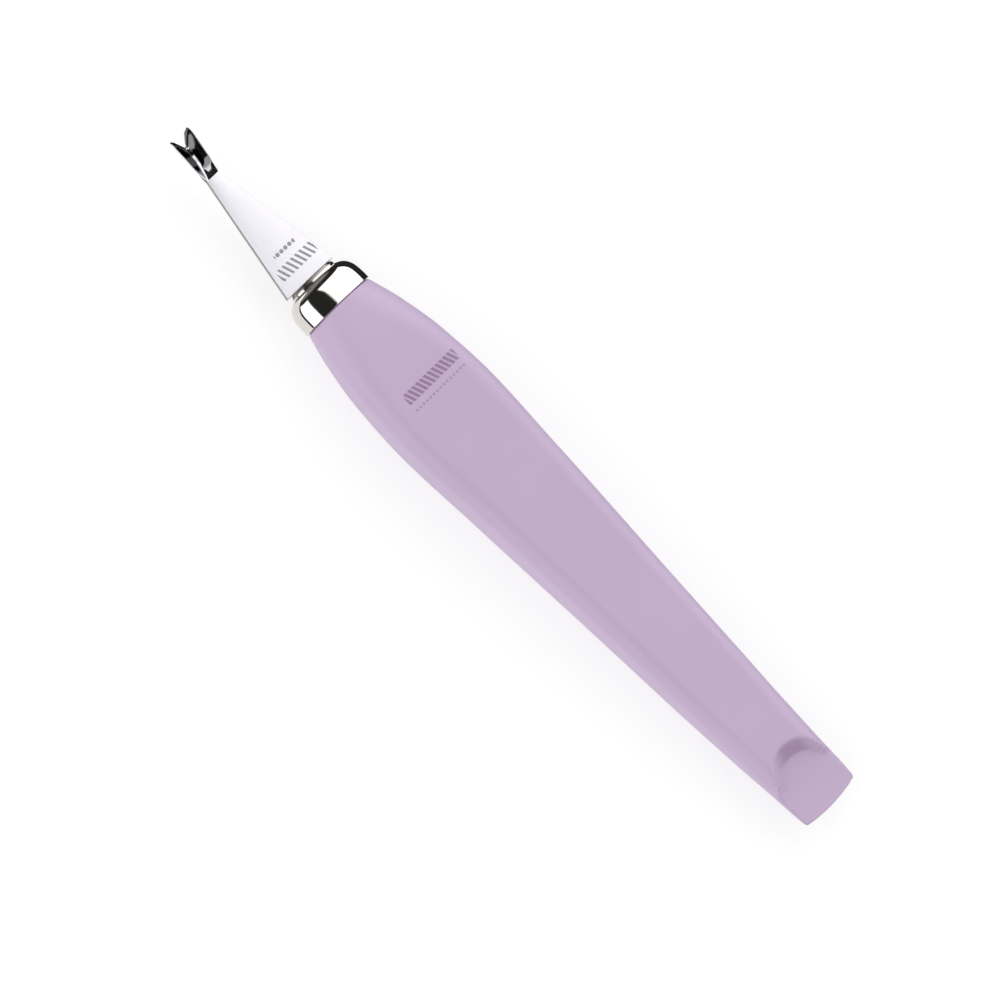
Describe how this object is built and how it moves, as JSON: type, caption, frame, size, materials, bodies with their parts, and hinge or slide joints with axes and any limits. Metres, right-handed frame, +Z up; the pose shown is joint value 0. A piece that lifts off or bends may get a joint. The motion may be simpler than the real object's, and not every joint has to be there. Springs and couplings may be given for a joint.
{
  "type": "cuticle trimmer",
  "caption": "Slim manicure hand tool with a forked trimming blade in a bright ferrule and a flat tapered plastic handle that ends in a scooped cuticle pusher.",
  "frame": {"origin": "centre of the bounding box in plan, on the surface that the flat back of the handle lies on", "axes": "+X along the tool from the fork to the pusher end, +Z up out of the broad face with the pusher scoop, +Y across the tool, at right angles to its plane of symmetry"},
  "size_m": [0.1212, 0.0154, 0.0082],
  "materials": {
    "handle_plastic": "satin lavender moulded plastic",
    "ferrule_nickel": "mirror-bright nickel plate",
    "blade_steel": "polished stainless steel with a fine grain",
    "plug_plastic": "natural moulded plastic"
  },
  "bodies": {
    "root": {"handle": "handle_plastic", "ferrule": "ferrule_nickel", "tang_plug": "plug_plastic", "blade": "blade_steel"}
  },
  "joints": []
}
